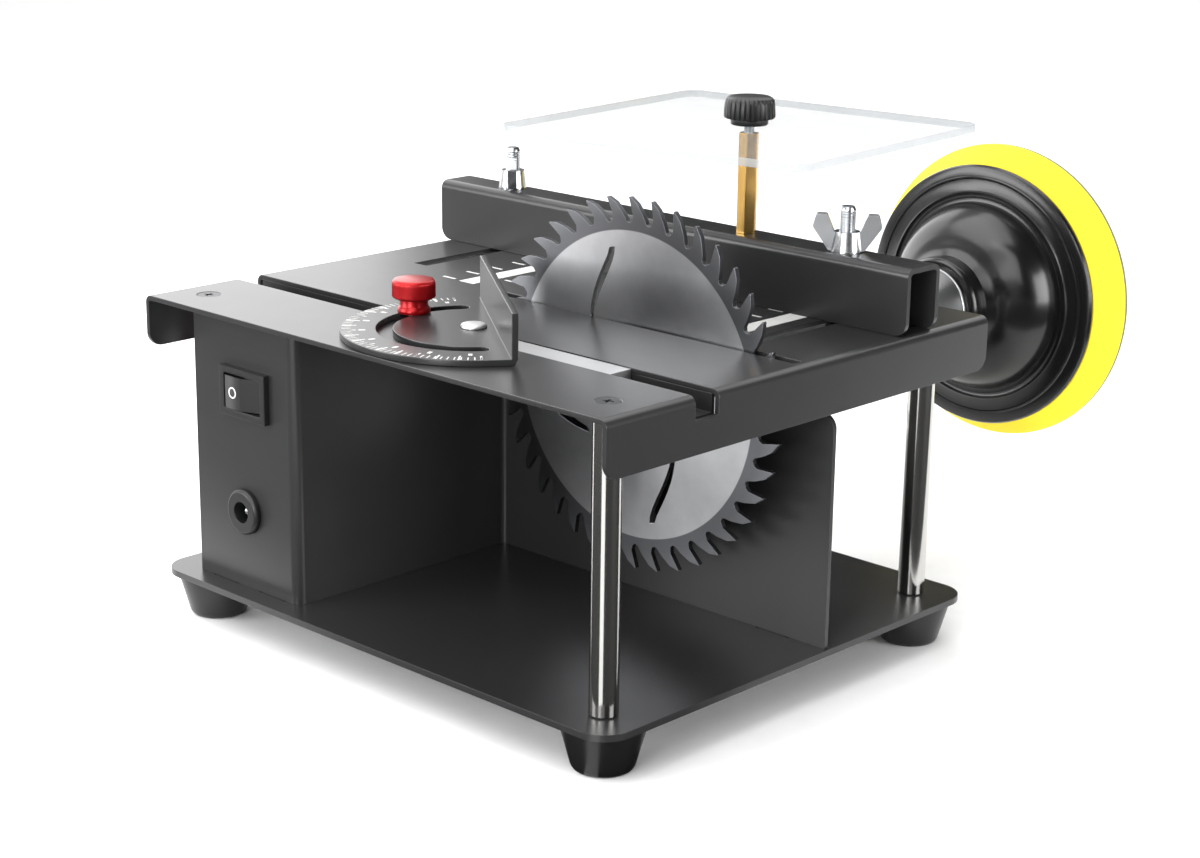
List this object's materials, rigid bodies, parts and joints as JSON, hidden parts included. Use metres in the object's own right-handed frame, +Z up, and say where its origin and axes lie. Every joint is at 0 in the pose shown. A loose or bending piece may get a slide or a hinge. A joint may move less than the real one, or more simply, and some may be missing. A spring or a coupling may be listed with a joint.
{
  "type": "bench table saw",
  "caption": "Small folded-steel bench table saw on four posts, with rip fence, mitre gauge, clear blade shield, rocker switch, and a foam sanding pad on the far end of the motor shaft.",
  "frame": {"origin": "centre of the base plate's underside", "axes": "+X the way the work is fed, +Y from the switch side to the sanding pad, +Z up"},
  "size_m": [0.1922, 0.2634, 0.1612],
  "materials": {
    "coated_steel": "satin powder coat",
    "foot_rubber": "moulded",
    "polished_steel": "polished",
    "zinc_steel": "zinc plated",
    "turned_steel": "turned",
    "blade_steel": "ground, dark",
    "motor_steel": "plated",
    "moulded_black": "matte",
    "gloss_black": "gloss",
    "yellow_foam": "fine open foam",
    "hook_fabric": "hook pile",
    "brass": "satin",
    "copper": "enamelled",
    "ferrite": "sintered",
    "carbon": "pressed",
    "clear_acrylic": "clear",
    "red_anodised": "red anodised",
    "bare_aluminium": "satin",
    "red_insulation": "smooth",
    "black_insulation": "smooth"
  },
  "bodies": {
    "frame": {"base_plate": "coated_steel", "rubber_feet": "foot_rubber", "foot_screws": "zinc_steel", "corner_posts": "polished_steel", "table_screws": "zinc_steel", "table_top": "coated_steel", "mitre_channel": "coated_steel", "folded_panel": "coated_steel", "motor_can": "motor_steel", "motor_end_cap": "moulded_black", "front_bearing": "motor_steel", "rear_bearing": "motor_steel", "field_magnets": "ferrite", "carbon_brushes": "carbon", "motor_terminals": "brass", "motor_screws": "zinc_steel", "switch_case": "moulded_black", "switch_terminals": "brass", "jack_body": "moulded_black", "jack_pin": "polished_steel", "jack_nut": "moulded_black", "inlet_lead": "red_insulation", "switched_lead": "red_insulation", "return_lead": "black_insulation"},
    "spindle": {"motor_shaft": "turned_steel", "armature_core": "motor_steel", "armature_windings": "copper", "commutator": "copper", "blade_arbor": "turned_steel", "clamp_washer": "zinc_steel", "arbor_nut": "zinc_steel", "saw_blade": "blade_steel", "pad_adapter": "turned_steel", "pad_hub": "gloss_black", "pad_foam": "yellow_foam", "pad_hook_face": "hook_fabric"},
    "fence": {"rip_fence": "coated_steel", "fence_bolts": "zinc_steel", "shield_pillar": "brass", "pillar_screw": "zinc_steel"},
    "left_nut": {"left_wing_nut": "zinc_steel"},
    "right_nut": {"right_wing_nut": "zinc_steel"},
    "shield": {"clear_shield": "clear_acrylic"},
    "shield_clamp": {"shield_knob": "moulded_black", "shield_knob_stud": "zinc_steel"},
    "mitre_slide": {"mitre_bar": "bare_aluminium", "gauge_pivot": "zinc_steel", "gauge_stud": "zinc_steel"},
    "mitre_head": {"protractor": "coated_steel"},
    "mitre_clamp": {"gauge_knob": "red_anodised"},
    "switch_rocker": {"rocker": "moulded_black"}
  },
  "joints": [
    {"name": "spindle_spin", "type": "hinge", "parent": "frame", "child": "spindle", "pos_m": [0.031, 0, 0.0693], "axis": [0, 1, 0], "continuous": true},
    {"name": "fence_travel", "type": "slide", "parent": "frame", "child": "fence", "axis": [0, 1, 0], "range_m": [-0.038, 0.0185]},
    {"name": "left_nut_turn", "type": "hinge", "parent": "fence", "child": "left_nut", "pos_m": [-0.071, 0.0483, 0.1071], "axis": [0, 0, 1], "continuous": true},
    {"name": "right_nut_turn", "type": "hinge", "parent": "fence", "child": "right_nut", "pos_m": [0.067, 0.0483, 0.1071], "axis": [0, 0, 1], "continuous": true},
    {"name": "shield_swivel", "type": "hinge", "parent": "fence", "child": "shield", "pos_m": [0.029, 0.0483, 0.1371], "axis": [0, 0, 1], "continuous": true},
    {"name": "shield_clamp_turn", "type": "hinge", "parent": "fence", "child": "shield_clamp", "pos_m": [0.029, 0.0483, 0.1396], "axis": [0, 0, 1], "continuous": true},
    {"name": "mitre_travel", "type": "slide", "parent": "frame", "child": "mitre_slide", "axis": [1, 0, 0], "range_m": [-0.069, 0.06]},
    {"name": "mitre_swivel", "type": "hinge", "parent": "mitre_slide", "child": "mitre_head", "pos_m": [0.0076, -0.0435, 0.0875], "axis": [0, 0, 1], "range_deg": [-140, 34]},
    {"name": "mitre_clamp_turn", "type": "hinge", "parent": "mitre_slide", "child": "mitre_clamp", "pos_m": [-0.0174, -0.0435, 0.0893], "axis": [0, 0, 1], "continuous": true},
    {"name": "rocker_tilt", "type": "hinge", "parent": "frame", "child": "switch_rocker", "pos_m": [-0.0578, -0.0716, 0.0626], "axis": [0, 0, 1], "range_deg": [-22, 0]}
  ]
}
